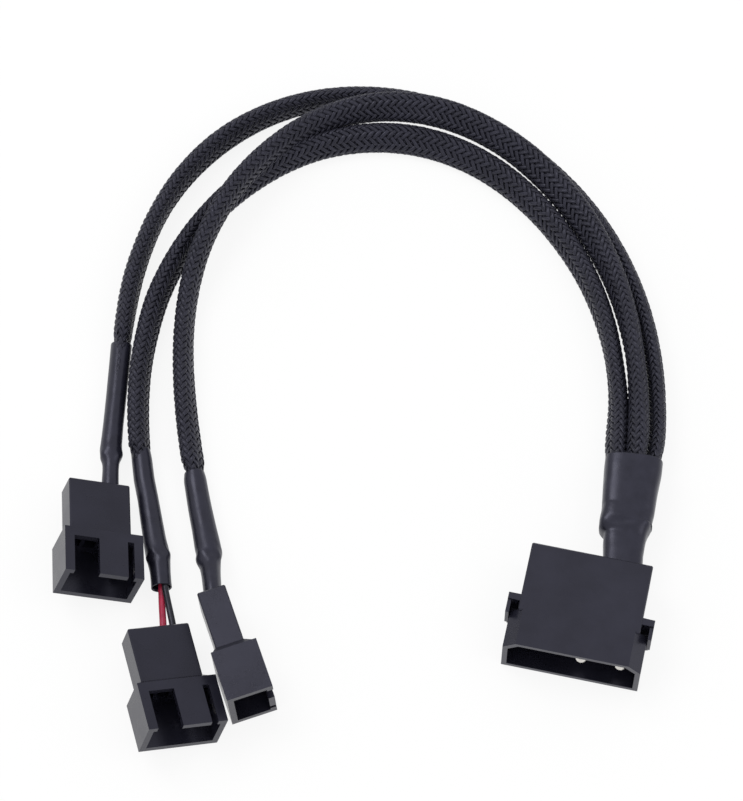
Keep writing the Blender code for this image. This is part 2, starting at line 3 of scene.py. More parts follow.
import bmesh
import bpy
import numpy as np
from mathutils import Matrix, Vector


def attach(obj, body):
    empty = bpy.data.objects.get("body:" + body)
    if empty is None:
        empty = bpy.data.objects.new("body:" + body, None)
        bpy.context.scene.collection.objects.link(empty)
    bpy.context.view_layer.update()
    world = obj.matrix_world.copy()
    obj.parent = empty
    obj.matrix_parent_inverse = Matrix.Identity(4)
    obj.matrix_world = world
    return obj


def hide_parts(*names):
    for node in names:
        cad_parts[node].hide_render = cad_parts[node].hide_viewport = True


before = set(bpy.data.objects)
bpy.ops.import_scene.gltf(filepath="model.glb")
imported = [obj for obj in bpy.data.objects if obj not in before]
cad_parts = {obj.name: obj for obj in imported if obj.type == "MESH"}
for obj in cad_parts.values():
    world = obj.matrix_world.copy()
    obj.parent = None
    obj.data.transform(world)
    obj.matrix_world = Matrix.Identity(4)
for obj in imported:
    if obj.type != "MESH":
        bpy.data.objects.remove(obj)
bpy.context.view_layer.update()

MM = 0.001
PX = 1 / 6040.0  # one pixel of the photograph's frame, in metres on the object


# Camera, fitted to the photograph. Its sensor's width lies along the picture's longer side, the height

IMAGE_WIDTH, IMAGE_HEIGHT = 743, 801
SENSOR = 36.0
LENS = 151.4
NEAREST = 0.01
TILT = radians(27.03)
CAMERA_PLACE = (0.0017, -0.2264, 0.4967)

camera = bpy.data.objects.new("camera", bpy.data.cameras.new("camera"))
bpy.context.scene.collection.objects.link(camera)
camera.data.sensor_width = SENSOR
camera.data.lens = LENS
camera.data.clip_start = NEAREST
camera.location = CAMERA_PLACE
camera.rotation_euler = (TILT, 0.0, 0.0)
bpy.context.scene.camera = camera

VIEWPOINT = np.array(camera.location)
PIXELS_PER_SLOPE = LENS / SENSOR * IMAGE_HEIGHT
MIDDLE_COLUMN, MIDDLE_ROW = IMAGE_WIDTH / 2, IMAGE_HEIGHT / 2


def seen_at(columns, rows, heights):
    """The points at some height that the camera sees at a column and row of its picture."""
    right = (np.asarray(columns, float) - MIDDLE_COLUMN) / PIXELS_PER_SLOPE
    up = (MIDDLE_ROW - np.asarray(rows, float)) / PIXELS_PER_SLOPE
    ray = np.stack([right, up * np.cos(TILT) + np.sin(TILT), up * np.sin(TILT) - np.cos(TILT)], -1)
    return VIEWPOINT + ray * ((np.asarray(heights, float) - VIEWPOINT[2]) / ray[..., 2])[..., None]


# Materials

COOL_GLOSS = (0.76, 0.76, 0.95)
PLASTIC = (0.011, 0.011, 0.018)
SHRINK = (0.012, 0.012, 0.020)
YARN = (0.011, 0.011, 0.017)
METAL = (0.72, 0.70, 0.66)
RED = (0.38, 0.022, 0.055)
BLACK = (0.012, 0.012, 0.014)

# Each finish: its noises (scale, detail, roughness), its tints (noise value, share of the colour), the
# range of its roughness, and each noise's bump (strength, distance)
FINISHES = {
    # Black moulded nylon: a fine grain over slow swells and slightly worn, lighter patches
    "plastic": dict(base_roughness=0.28, noises=((160.0, 4.0, 0.6), (9000.0, 2.0, 0.5)),
                    tints=((0.32, 0.82), (0.68, 1.25)), roughness=(0.24, 0.32),
                    bumps=((0.08, 0.0002), (0.05, 0.00002))),
    # Heat-shrink tube: satin, with faint ripples and a fine grain
    "shrink": dict(base_roughness=0.32, noises=((420.0, 4.0, 0.55), (5200.0, 3.0, 0.6)),
                   tints=((0.30, 0.8), (0.70, 1.3)), roughness=(0.27, 0.38),
                   bumps=((0.22, 0.0002), (0.12, 0.00003))),
    # Extruded wire insulation: smooth, slightly uneven
    "insulation": dict(base_roughness=0.36, noises=((700.0, 3.0, 0.5),),
                       tints=((0.30, 0.75), (0.70, 1.25)), roughness=(0.28, 0.42),
                       bumps=((0.2, 0.0001),)),
    # Tin-plated brass: bright, with dull patches
    "metal": dict(base_roughness=0.28, noises=((1400.0, 4.0, 0.6),),
                  tints=((0.30, 0.85), (0.70, 1.1)), roughness=(0.18, 0.40),
                  bumps=((0.15, 0.00005),)),
}
PLAIN_GLOSS = 0.5
SHRINK_GLOSS = 0.55
NOISE_SPAN = (0.3, 0.7)  # the values between which a noise mostly lies

YARN_ROUGHNESS, YARN_GLOSS = 0.40, 0.50
FILAMENTS_PER_STRAND = 3.0
YARN_NOISE = (2500.0, 2.0, 0.5)
STRAND_TONE_SHARE = 0.5
YARN_TINTS = ((0.35, 0.65), (0.95, 1.6))
YARN_ROUGHNESS_RANGE = (0.32, 0.48)
FILAMENT_BUMP, YARN_BUMP = (0.45, 0.00006), (0.15, 0.00002)


def new_material(name, colour, roughness, gloss, metallic=0.0):
    made = bpy.data.materials.new(name)
    made.use_nodes = True
    shader = made.node_tree.nodes["Principled BSDF"]
    shader.inputs["Base Color"].default_value = (*colour, 1.0)
    shader.inputs["Roughness"].default_value = roughness
    shader.inputs["Metallic"].default_value = metallic
    shader.inputs["Specular IOR Level"].default_value = gloss
    if metallic == 0.0:
        shader.inputs["Specular Tint"].default_value = (*COOL_GLOSS, 1.0)
    return made, made.node_tree, shader


def node(tree, kind, **settings):
    """A new node. A setting named in_ and a number is that input's value."""
    made = tree.nodes.new(kind)
    for key, value in settings.items():
        if key.startswith("in_"):
            made.inputs[int(key[3:])].default_value = value
        else:
            setattr(made, key, value)
    return made


def noise(tree, scale, detail, roughness):
    made = node(tree, "ShaderNodeTexNoise")
    made.inputs["Scale"].default_value = scale
    made.inputs["Detail"].default_value = detail
    made.inputs["Roughness"].default_value = roughness
    place = node(tree, "ShaderNodeTexCoord")
    tree.links.new(place.outputs["Object"], made.inputs["Vector"])
    return made.outputs["Fac"]


def tinted(tree, value, colour, tints):
    """The colour in two strengths, between two values: tints are (value, share of the colour)."""
    made = node(tree, "ShaderNodeValToRGB")
    for element, (place, factor) in zip(made.color_ramp.elements, tints):
        element.position = place
        element.color = (*(min(1.0, channel * factor) for channel in colour), 1.0)
    tree.links.new(value, made.inputs["Fac"])
    return made.outputs["Color"]


def spread(tree, value, low, high):
    made = node(tree, "ShaderNodeMapRange")
    made.inputs["From Min"].default_value = NOISE_SPAN[0]
    made.inputs["From Max"].default_value = NOISE_SPAN[1]
    made.inputs["To Min"].default_value = low
    made.inputs["To Max"].default_value = high
    tree.links.new(value, made.inputs["Value"])
    return made.outputs["Result"]


def bump(tree, shader, layers):
    """Stacks height layers (value, strength, distance) into the shader's normal."""
    normal = None
    for value, strength, distance in layers:
        made = node(tree, "ShaderNodeBump")
        made.inputs["Strength"].default_value = strength
        made.inputs["Distance"].default_value = distance
        tree.links.new(value, made.inputs["Height"])
        if normal is not None:
            tree.links.new(normal, made.inputs["Normal"])
        normal = made.outputs["Normal"]
    tree.links.new(normal, shader.inputs["Normal"])


def finished(name, finish, colour, gloss=PLAIN_GLOSS, metallic=0.0):
    """A material of one of the finishes."""
    look = FINISHES[finish]
    made, tree, shader = new_material(name, colour, look["base_roughness"], gloss, metallic)
    values = [noise(tree, *settings) for settings in look["noises"]]
    tree.links.new(tinted(tree, values[0], colour, look["tints"]), shader.inputs["Base Color"])
    tree.links.new(spread(tree, values[0], *look["roughness"]), shader.inputs["Roughness"])
    bump(tree, shader, [(value, *setting) for value, setting in zip(values, look["bumps"])])
    return made


def braid_yarn(name):
    """A braid strand is three monofilaments side by side, read from its UV. Each strand has its own tone."""
    made, tree, shader = new_material(name, YARN, YARN_ROUGHNESS, YARN_GLOSS)
    uv = node(tree, "ShaderNodeUVMap", uv_map="strand")
    split = node(tree, "ShaderNodeSeparateXYZ")
    tree.links.new(uv.outputs["UV"], split.inputs["Vector"])
    lanes = node(tree, "ShaderNodeMath", operation="MULTIPLY", in_1=FILAMENTS_PER_STRAND * pi)
    tree.links.new(split.outputs["X"], lanes.inputs[0])
    wave = node(tree, "ShaderNodeMath", operation="SINE")
    tree.links.new(lanes.outputs["Value"], wave.inputs[0])
    ridge = node(tree, "ShaderNodeMath", operation="ABSOLUTE")
    tree.links.new(wave.outputs["Value"], ridge.inputs[0])
    own = node(tree, "ShaderNodeAttribute", attribute_name="tone")
    fine = noise(tree, *YARN_NOISE)
    mixed = node(tree, "ShaderNodeMath", operation="MULTIPLY_ADD", in_1=STRAND_TONE_SHARE)
    tree.links.new(own.outputs["Fac"], mixed.inputs[0])
    tree.links.new(fine, mixed.inputs[2])
    tree.links.new(tinted(tree, mixed.outputs["Value"], YARN, YARN_TINTS), shader.inputs["Base Color"])
    tree.links.new(spread(tree, fine, *YARN_ROUGHNESS_RANGE), shader.inputs["Roughness"])
    bump(tree, shader, [(ridge.outputs["Value"], *FILAMENT_BUMP), (fine, *YARN_BUMP)])
    return made


# Meshes

def add(name, mesh, material, slot, *replaced):
    made = bpy.data.objects.new(name, mesh)
    bpy.context.scene.collection.objects.link(made)
    mesh.materials.clear()
    mesh.materials.append(material)
    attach(made, "root")
    if replaced:
        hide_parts(*replaced)
    return made


def spline_through(route):
    """A natural cubic spline through the route's points: its length by chords, and a function of travel."""
    points = np.array(route, float)
    knots = np.concatenate([[0.0], np.cumsum(np.linalg.norm(np.diff(points, axis=0), axis=1))])
    widths = np.diff(knots)
    count = len(points)
    system = np.zeros((count, count))
    right = np.zeros((count, 3))
    system[0, 0] = system[-1, -1] = 1.0
    for i in range(1, count - 1):
        behind, ahead = widths[i - 1], widths[i]
        system[i, i - 1:i + 2] = behind, 2 * (behind + ahead), ahead
        right[i] = 6 * ((points[i + 1] - points[i]) / ahead - (points[i] - points[i - 1]) / behind)
    bend = np.linalg.solve(system, right)

    def at(travel):
        travel = np.asarray(travel, float)
        i = np.clip(np.searchsorted(knots, travel, side="right") - 1, 0, count - 2)
        width = widths[i][..., None]
        after = (knots[i + 1] - travel)[..., None]
        before = (travel - knots[i])[..., None]
        return (
            (bend[i] * after ** 3 + bend[i + 1] * before ** 3) / (6 * width)
            + (points[i] / width - bend[i] * width / 6) * after
            + (points[i + 1] / width - bend[i + 1] * width / 6) * before
        )

    return knots[-1], at


def unit(vectors):
    return vectors / np.linalg.norm(vectors, axis=-1, keepdims=True)


def view_frames(points):
    """Along a line: its heading, the way across it as the camera sees it, and the way to the camera."""
    heading = unit(np.gradient(points, axis=0))
    across = unit(np.cross(heading, unit(VIEWPOINT - points)))
    return heading, across, np.cross(across, heading)


def ring_faces(count, around, shift=0):
    """The faces over rings of points: quads all the way round, and a cap at each end."""
    index = np.arange(count * around).reshape(count, around) + shift
    turned = np.roll(index, -1, axis=1)
    quads = np.stack([index[:-1], index[1:], turned[1:], turned[:-1]], -1).reshape(-1, 4)
    return quads.tolist() + [index[0].tolist(), index[-1][::-1].tolist()]


def skin(name, rings):
    """A closed mesh over rings of points, shape (stations, around, 3), with smooth faces."""
    mesh = bpy.data.meshes.new(name)
    mesh.from_pydata(rings.reshape(-1, 3).tolist(), [], ring_faces(*rings.shape[:2]))
    mesh.shade_smooth()
    return mesh


# Braided cables

TRUNK_STARTS = {
    "a": ((0.045710, 0.005798, 0.003634), (0.046741, 0.011713, 0.003451)),
    "b": ((0.041047, 0.006387, 0.003634), (0.041519, 0.012372, 0.003451)),
    "c": ((0.043385, 0.006144, 0.005333), (0.044136, 0.012094, 0.005150)),
}
CABLE_ROUTES = {
    "a": (
        (0.04776, 0.01659, 0.00300), (0.04846, 0.02414, 0.00200), (0.04837, 0.03123, 0.00185),
        (0.04746, 0.03887, 0.00185), (0.04578, 0.04603, 0.00185), (0.04310, 0.05345, 0.00185),
        (0.03932, 0.06075, 0.00185), (0.03492, 0.06700, 0.00185), (0.03066, 0.07165, 0.00185),
        (0.02565, 0.07591, 0.00185), (0.02025, 0.07939, 0.00185), (0.01273, 0.08271, 0.00185),
        (0.00332, 0.08471, 0.00185), (-0.00545, 0.08452, 0.00185), (-0.01408, 0.08219, 0.00185),
        (-0.02064, 0.07863, 0.00185), (-0.02575, 0.07440, 0.00185), (-0.03070, 0.06842, 0.00185),
        (-0.03350, 0.06366, 0.00185), (-0.03531, 0.05958, 0.00185), (-0.03697, 0.05461, 0.00185),
        (-0.03825, 0.04959, 0.00185), (-0.03908, 0.04452, 0.00195), (-0.03961, 0.03941, 0.00215),
        (-0.03993, 0.03459, 0.00240), (-0.04038, 0.02446, 0.00255), (-0.04090, 0.01623, 0.00265),
    ),
    "b": (
        (0.04164, 0.01658, 0.00300), (0.04230, 0.02429, 0.00200), (0.04223, 0.03024, 0.00185),
        (0.04168, 0.03557, 0.00185), (0.04025, 0.04238, 0.00185), (0.03796, 0.04910, 0.00185),
        (0.03331, 0.05800, 0.00185), (0.02869, 0.06412, 0.00185), (0.02457, 0.06821, 0.00185),
        (0.02135, 0.07073, 0.00185), (0.01511, 0.07423, 0.00185), (0.01039, 0.07583, 0.00185),
        (0.00249, 0.07672, 0.00185), (-0.00577, 0.07542, 0.00185), (-0.01155, 0.07313, 0.00185),
        (-0.01916, 0.06814, 0.00185), (-0.02434, 0.06307, 0.00185), (-0.02765, 0.05877, 0.00185),
        (-0.03031, 0.05439, 0.00185), (-0.03249, 0.04979, 0.00185), (-0.03430, 0.04473, 0.00185),
        (-0.03552, 0.03938, 0.00185), (-0.03637, 0.03375, 0.00185), (-0.03673, 0.02811, 0.00185),
        (-0.03670, 0.02341, 0.00185), (-0.03630, 0.01761, 0.00185), (-0.03481, 0.00658, 0.00190),
        (-0.03365, 0.00053, 0.00220), (-0.03219, -0.00697, 0.00300),
    ),
    "c": (
        (0.04469, 0.01530, 0.00520), (0.04533, 0.02285, 0.00495), (0.04535, 0.02990, 0.00480),
        (0.04434, 0.03905, 0.00480), (0.04287, 0.04536, 0.00480), (0.04093, 0.05112, 0.00480),
        (0.03828, 0.05691, 0.00485), (0.03465, 0.06291, 0.00495), (0.03054, 0.06816, 0.00500),
        (0.02519, 0.07328, 0.00505), (0.01958, 0.07709, 0.00505), (0.01406, 0.07953, 0.00505),
        (0.00899, 0.08074, 0.00505), (0.00354, 0.08096, 0.00505), (-0.00076, 0.08030, 0.00510),
        (-0.00485, 0.07890, 0.00530), (-0.00930, 0.07651, 0.00560), (-0.01380, 0.07311, 0.00590),
        (-0.01803, 0.06882, 0.00610), (-0.02188, 0.06360, 0.00615), (-0.02389, 0.06008, 0.00605),
        (-0.02531, 0.05722, 0.00570), (-0.02709, 0.05281, 0.00480), (-0.02832, 0.04858, 0.00370),
        (-0.02911, 0.04428, 0.00270), (-0.02952, 0.03974, 0.00205), (-0.02959, 0.03556, 0.00185),
        (-0.02937, 0.03021, 0.00185), (-0.02890, 0.02490, 0.00185), (-0.02763, 0.01562, 0.00185),
        (-0.02612, 0.00658, 0.00195), (-0.02474, -0.00242, 0.00290),
    ),
}
# How wide each sleeve looks along its run, in pixels: (share of the length, width)
LOOK_WIDTHS = {
    "a": ((0.0, 19.0), (0.056, 20.8), (0.132, 20.6), (0.209, 21.2), (0.292, 20.4), (0.363, 19.3),
          (0.430, 19.6), (0.480, 22.6), (0.521, 22.6), (0.612, 23.4), (0.660, 25.0), (0.690, 24.6),
          (0.720, 22.6), (0.752, 21.1), (0.780, 19.8), (0.810, 21.2), (0.855, 20.6), (0.906, 18.6),
          (1.000, 21.6)),
    "b": ((0.0, 22.4), (0.052, 22.2), (0.085, 21.0), (0.123, 18.4), (0.186, 20.8), (0.274, 26.4),
          (0.343, 29.3), (0.400, 31.0), (0.440, 31.3), (0.466, 31.0), (0.500, 28.8), (0.541, 27.2),
          (0.580, 27.6), (0.600, 27.4), (0.640, 24.9), (0.679, 23.7), (0.732, 24.4), (0.760, 23.4),
          (0.789, 22.0), (0.842, 21.6), (0.929, 20.2), (1.000, 21.0)),
    "c": ((0.0, 22.6), (0.047, 22.6), (0.085, 21.4), (0.121, 18.2), (0.201, 23.6), (0.264, 28.8),
          (0.334, 30.6), (0.385, 29.8), (0.420, 31.0), (0.450, 31.3), (0.490, 31.0), (0.530, 28.0),
          (0.561, 26.0), (0.600, 23.8), (0.620, 22.6), (0.660, 22.6), (0.690, 20.6), (0.720, 21.4),
          (0.750, 20.8), (0.780, 20.4), (0.840, 21.2), (0.870, 22.2), (0.900, 22.0), (0.953, 22.5),
          (1.000, 24.2)),
}
BRANCH_SHRINK_LENGTHS = {"a": 0.0203, "b": 0.0235, "c": 0.0160}
TRUNK_DEPTH = 0.0090
BROAD, NARROW = 0.00240, 0.00136  # half the sleeve's wide and narrow sides, to the strands' middle
WAIST, WAIST_REACH = 0.10, 0.42  # how far the sleeve sinks in between its two wires, and over what share
STRANDS_EACH_WAY = 12
BRAID_PITCH = 0.0149
SAMPLES_PER_CROSSING = 2.25
STRAND_HALF_WIDTH = 0.00037
STRAND_HEIGHT = 0.00013
STRAND_LIFT = 0.00013
CROSSING_SHARPNESS = 1.35
LIFT_SCATTER = 0.000012
WIDTH_SCATTER = 0.03
BRAID_SEED = 7
STRAND_SECTION = np.array([(-1.0, 0.0), (-0.52, 0.92), (0.52, 0.92), (1.0, 0.0), (0.0, -0.75)])
END_TRIM = 0.0004
LINE_SAMPLES = 400
WIDTH_BLUR = 12  # how many line samples either way a look width is averaged over
CORE_SAMPLES, CORE_SIDES = 240, 16
CORE_LIFT = -0.00016
SQUEEZED = 0.50  # the sleeve's size under a branch's heat shrink
TRUNK_SQUEEZE = 0.60  # and at its start inside the trunk's
TRUNK_TAPER = (-0.007, 0.002)  # where a sleeve grows to its full size, from the trunk shrink's end
BRANCH_TAPER = (-0.0015, 0.0020)  # and where it shrinks again, from the branch shrink's start
FLOOR_GAP = 0.00005


class Sleeve:
    """The oval sleeve over two wires side by side: its line, and how it lies on it."""

    def __init__(self, key):
        self.length, self.at = spline_through(TRUNK_STARTS[key] + CABLE_ROUTES[key])
        self.travel = np.linspace(0.0, self.length, LINE_SAMPLES)
        line = self.at(self.travel)
        shares, widths = np.array(LOOK_WIDTHS[key]).T
        half = np.interp(self.travel / self.length, shares, widths) * PX / 2
        window = 2 * WIDTH_BLUR + 1
        half = np.convolve(np.pad(half, WIDTH_BLUR, mode="edge"), np.ones(window) / window, mode="valid")
        reach = half - STRAND_LIFT - STRAND_HEIGHT / 2
        share = np.clip((reach ** 2 - NARROW ** 2) / (BROAD ** 2 - NARROW ** 2), 0.0, 1.0)
        turn = np.arccos(np.sqrt(share))[:, None]
        _, across, towards = view_frames(line)
        self.broad = np.cos(turn) * across + np.sin(turn) * towards
        self.narrow = np.cos(turn) * towards - np.sin(turn) * across
        shrink_start = self.length - BRANCH_SHRINK_LENGTHS[key]
        tapers = [TRUNK_DEPTH + step for step in TRUNK_TAPER] + [shrink_start + step for step in BRANCH_TAPER]
        self.size = np.interp(self.travel, tapers, (TRUNK_SQUEEZE, 1.0, 1.0, SQUEEZED))
        outer = self.size * np.hypot(BROAD * self.broad[:, 2], NARROW * self.narrow[:, 2])
        low = line[:, 2] - outer - STRAND_LIFT - STRAND_HEIGHT
        lift = np.maximum(0.0, FLOOR_GAP - low)[:, None]
        to_camera = unit(VIEWPOINT - line)
        line += to_camera * lift / to_camera[:, 2:]
        self.line = line

    def surface(self, travel, angle, lift):
        """Points at some travel, angle round the section and lift off it, and the outward directions."""
        def read(values):
            flat = [np.interp(travel, self.travel, values[:, axis]) for axis in range(3)]
            return np.stack(flat, -1)
        line, broad, narrow = read(self.line), read(self.broad), read(self.narrow)
        size = np.interp(travel, self.travel, self.size)[..., None]
        cosine, sine = np.cos(angle)[..., None], np.sin(angle)[..., None]
        waist = 1.0 - WAIST * np.exp(-(cosine / WAIST_REACH) ** 2)
        outward = unit(broad * cosine / BROAD + narrow * sine / NARROW)
        oval = size * (broad * cosine * BROAD + narrow * sine * NARROW * waist)
        return line + oval + outward * np.asarray(lift)[..., None], outward


def braid(sleeve, start, end):
    """Strands both ways round the sleeve, each over two and under two, as closed ribbons of five faces."""
    random = np.random.default_rng(BRAID_SEED)
    crossing = BRAID_PITCH / (2 * STRANDS_EACH_WAY)
    first, last = start / crossing, end / crossing
    samples = np.linspace(first, last, int((last - first) * SAMPLES_PER_CROSSING) + 1)
    travel = samples * crossing
    count, around = len(samples), len(STRAND_SECTION)
    aside_shares, up_shares = STRAND_SECTION.T
    points, tones, uvs, faces = [], [], [], []
    for way in (1, -1):
        for strand in range(STRANDS_EACH_WAY):
            turns = strand / STRANDS_EACH_WAY + way * samples / (2 * STRANDS_EACH_WAY)
            phase = (samples + 2 * strand - 0.5 if way > 0 else 2 * strand - samples - 0.5) * pi / 2
            lift = STRAND_LIFT * way * np.clip(CROSSING_SHARPNESS * np.cos(phase), -1.0, 1.0)
            lift = lift + random.normal(0.0, LIFT_SCATTER)
            middle, outward = sleeve.surface(travel, 2 * pi * turns, lift)
            heading = unit(np.gradient(middle, axis=0))
            aside = unit(np.cross(heading, outward))
            up = np.cross(aside, heading)
            width = STRAND_HALF_WIDTH * (1.0 + random.normal(0.0, WIDTH_SCATTER))
            ring = (middle[:, None] + aside[:, None] * (aside_shares * width)[None, :, None]
                    + up[:, None] * (up_shares * STRAND_HEIGHT)[None, :, None])
            faces.extend(ring_faces(count, around, len(points) * count * around))
            points.append(ring.reshape(-1, 3))
            tones.append(np.full(count * around, random.random()))
            across = np.broadcast_to((aside_shares + 1) / 2, (count, around))
            along = np.broadcast_to((travel / MM)[:, None], (count, around))
            uvs.append(np.stack([across, along], -1).reshape(-1, 2))
    return np.concatenate(points), faces, np.concatenate(tones), np.concatenate(uvs)


def braided_cable(key):
    sleeve = Sleeve(key)
    points, faces, tones, uvs = braid(sleeve, END_TRIM, sleeve.length - END_TRIM)
    travel = np.linspace(0.0, sleeve.length, CORE_SAMPLES)[:, None] + np.zeros(CORE_SIDES)
    angle = np.linspace(0.0, 2 * pi, CORE_SIDES, endpoint=False) + np.zeros((CORE_SAMPLES, 1))
    rings, _ = sleeve.surface(travel, angle, CORE_LIFT)
    core_points = CORE_SAMPLES * CORE_SIDES
    faces.extend(ring_faces(CORE_SAMPLES, CORE_SIDES, len(points)))
    mesh = bpy.data.meshes.new(f"sleeve_{key}")
    mesh.from_pydata(np.concatenate([points, rings.reshape(-1, 3)]).tolist(), [], faces)
    tone = mesh.attributes.new("tone", "FLOAT", "POINT")
    tone.data.foreach_set("value", np.concatenate([tones, np.zeros(core_points)]).astype(np.float32))
    corner = np.zeros(len(mesh.loops), np.int32)
    mesh.loops.foreach_get("vertex_index", corner)
    uvs = np.concatenate([uvs, np.zeros((core_points, 2))])
    mesh.uv_layers.new(name="strand").data.foreach_set("uv", uvs[corner].astype(np.float32).ravel())
    mesh.shade_smooth()
    made = add(f"sleeve_{key}", mesh, braid_yarn(f"sleeve_{key}_yarn"), "sleeve", f"braided_cable_{key}")


for key in "abc":
    braided_cable(key)


# Heat shrinks and wires, placed as the camera sees them

SHRINK_STATIONS, WIRE_STATIONS = 110, 60
TUBE_SIDES = 64
SMOOTHING = 3  # how many stations either way a tube's measures are averaged over
WALL_SHARE = 0.07
INNER_RINGS = ((1.0, 1), (1.3, 4), (1.5, 16))  # the open end's inside: (walls in, stations back)
TRUNK_SQUARENESS = 0.56

# Each tube's stations: column, row, half its width in pixels, height in mm, half its depth in mm
TRUNK_TUBE = (
    (622.4, 575.0, 19.0, 4.6, 2.5), (623.0, 556.0, 19.4, 4.5, 2.5), (624.0, 545.0, 20.3, 4.4, 2.5),
    (625.2, 536.5, 20.8, 4.4, 2.5), (625.1, 531.0, 25.2, 4.35, 2.9), (624.9, 526.0, 25.9, 4.3, 3.1),
    (626.4, 519.0, 25.3, 4.3, 3.1), (628.0, 512.0, 25.8, 4.2, 3.1), (630.4, 490.0, 27.0, 4.1, 3.4),
    (632.9, 472.0, 28.4, 3.95, 3.65), (633.8, 463.5, 28.4, 3.9, 3.75),
)
BRANCH_TUBE_A = (
    (121.5, 345.0, 10.6, 2.0, 1.75), (119.6, 365.0, 10.4, 2.1, 1.75), (116.5, 395.0, 10.2, 2.3, 1.70),
    (113.2, 425.0, 10.1, 2.5, 1.70), (111.2, 445.0, 10.6, 2.6, 1.70), (110.9, 453.0, 11.4, 2.65, 1.75),
    (110.9, 458.0, 11.1, 2.7, 1.70), (110.8, 463.0, 8.4, 2.75, 1.40), (110.6, 470.0, 8.0, 2.8, 1.30),
    (110.2, 484.0, 8.4, 2.9, 1.30), (110.0, 492.0, 8.4, 2.9, 1.30),
)
BRANCH_TUBE_B = (
    (140.6, 451.0, 9.6, 1.9, 1.80), (142.0, 460.0, 10.1, 1.9, 1.75), (144.3, 480.0, 10.3, 1.95, 1.75),
    (148.2, 500.0, 10.3, 2.05, 1.75), (151.3, 520.0, 10.8, 2.2, 1.75), (154.6, 540.0, 11.2, 2.5, 1.80),
    (156.8, 551.0, 11.8, 2.7, 1.85), (158.2, 558.0, 12.0, 2.8, 1.85), (159.4, 564.0, 10.9, 2.85, 1.75),
    (160.2, 572.0, 10.1, 2.95, 1.65), (161.0, 581.0, 9.9, 3.0, 1.60), (161.6, 588.5, 10.1, 3.05, 1.60),
)
BRANCH_TUBE_C = (
    (194.3, 473.0, 9.9, 1.9, 1.80), (195.2, 480.0, 11.2, 1.95, 1.80), (196.8, 490.0, 11.3, 2.0, 1.75),
    (200.3, 510.0, 11.7, 2.2, 1.75), (204.3, 530.0, 12.1, 2.5, 1.80), (207.3, 545.0, 12.8, 2.8, 1.85),
    (208.8, 554.0, 12.8, 3.0, 1.85), (209.0, 561.0, 12.4, 3.2, 1.80), (210.2, 567.0, 10.2, 3.4, 1.75),
    (211.0, 575.0, 9.4, 3.8, 1.85), (212.2, 588.0, 9.0, 4.1, 2.10), (213.4, 598.0, 9.0, 4.15, 2.20),
)
RED_WIRE_TUBE = (
    (161.6, 578.0, 3.3, 3.0, 0.55), (161.6, 592.0, 3.3, 3.05, 0.55), (162.0, 605.0, 3.3, 3.3, 0.55),
    (163.0, 622.0, 3.4, 3.7, 0.55), (163.6, 638.0, 3.4, 3.7, 0.55),
)
BLACK_WIRE_TUBE = (
    (164.6, 578.0, 3.2, 3.6, 0.55), (165.4, 590.0, 3.2, 3.7, 0.55), (168.6, 605.0, 3.2, 3.9, 0.55),
    (172.2, 622.0, 3.3, 3.8, 0.55), (175.0, 638.0, 3.3, 3.7, 0.55),
)
# Each tube's folds: row, reach in rows, height of the wrinkles in mm
TRUNK_FOLDS = ((528.0, 5.0, 0.12), (548.0, 20.0, 0.03))
BRANCH_FOLDS_A = ((456.0, 6.0, 0.10), (400.0, 60.0, 0.02))
BRANCH_FOLDS_B = ((557.0, 7.0, 0.16), (500.0, 60.0, 0.02))
BRANCH_FOLDS_C = ((558.0, 7.0, 0.14), (515.0, 50.0, 0.02))
# A fold's waves: share of its height, waves round the tube, how they wind along it, start
FOLD_WAVES = ((1.0, 3, 1.9, 0.0), (0.7, 5, -2.6, 1.0))


def smoothed(values):
    kernel = np.hanning(2 * SMOOTHING + 3)[1:-1]
    return np.convolve(np.pad(values, SMOOTHING, mode="edge"), kernel / kernel.sum(), mode="valid")


def seen_tube(stations, samples, squareness=1.0, folds=(), open_end=False):
    """The rings of a tube through stations. squareness under 1 flattens its section.

    An open end shows its wall's thickness and goes on inside.
    """
    columns, rows, halves, heights, depths = np.array(stations, float).T
    places = np.concatenate([[0.0], np.cumsum(np.hypot(np.diff(columns), np.diff(rows)))])
    travel = np.linspace(0.0, places[-1], samples)
    columns, rows, halves, heights, depths = (
        smoothed(np.interp(travel, places, values))
        for values in (columns, rows, halves, heights * MM, depths * MM)
    )
    centres = seen_at(columns, rows, heights)
    _, across, towards = view_frames(centres)
    angle = np.linspace(0.0, 2 * pi, TUBE_SIDES, endpoint=False)
    cosine, sine = np.cos(angle), np.sin(angle)
    wide = np.sign(cosine) * np.abs(cosine) ** squareness
    deep = np.sign(sine) * np.abs(sine) ** squareness
    halves = halves * PX
    swell = np.zeros((samples, TUBE_SIDES))
    for fold_row, reach, height in folds:
        near = np.exp(-((rows - fold_row) / reach) ** 2)[:, None]
        turns = travel[:, None] / reach
        waves = sum(share * np.cos(count * angle + wind * turns + start)
                    for share, count, wind, start in FOLD_WAVES)
        swell += near * (height * MM) * waves / sum(share for share, *_ in FOLD_WAVES)
    rings = (centres[:, None] + across[:, None] * ((halves[:, None] + swell) * wide)[..., None]
             + towards[:, None] * ((depths[:, None] + swell) * deep)[..., None])
    if open_end:
        inside = [centres[-back] + (rings[-back] - centres[-back]) * (1 - walls * WALL_SHARE)
                  for walls, back in INNER_RINGS]
        rings = np.concatenate([rings, np.array(inside)])
    return rings


def add_shrink(name, rings, *replaced):
    look = finished(f"{name}_skin", "shrink", SHRINK, SHRINK_GLOSS)
    add(name, skin(name, rings), look, "shrink", *replaced)


def add_wire(name, rings, colour, slot, replaced):
    look = finished(f"{name}_jacket", "insulation", colour)
    add(name, skin(name, rings), look, slot, replaced)


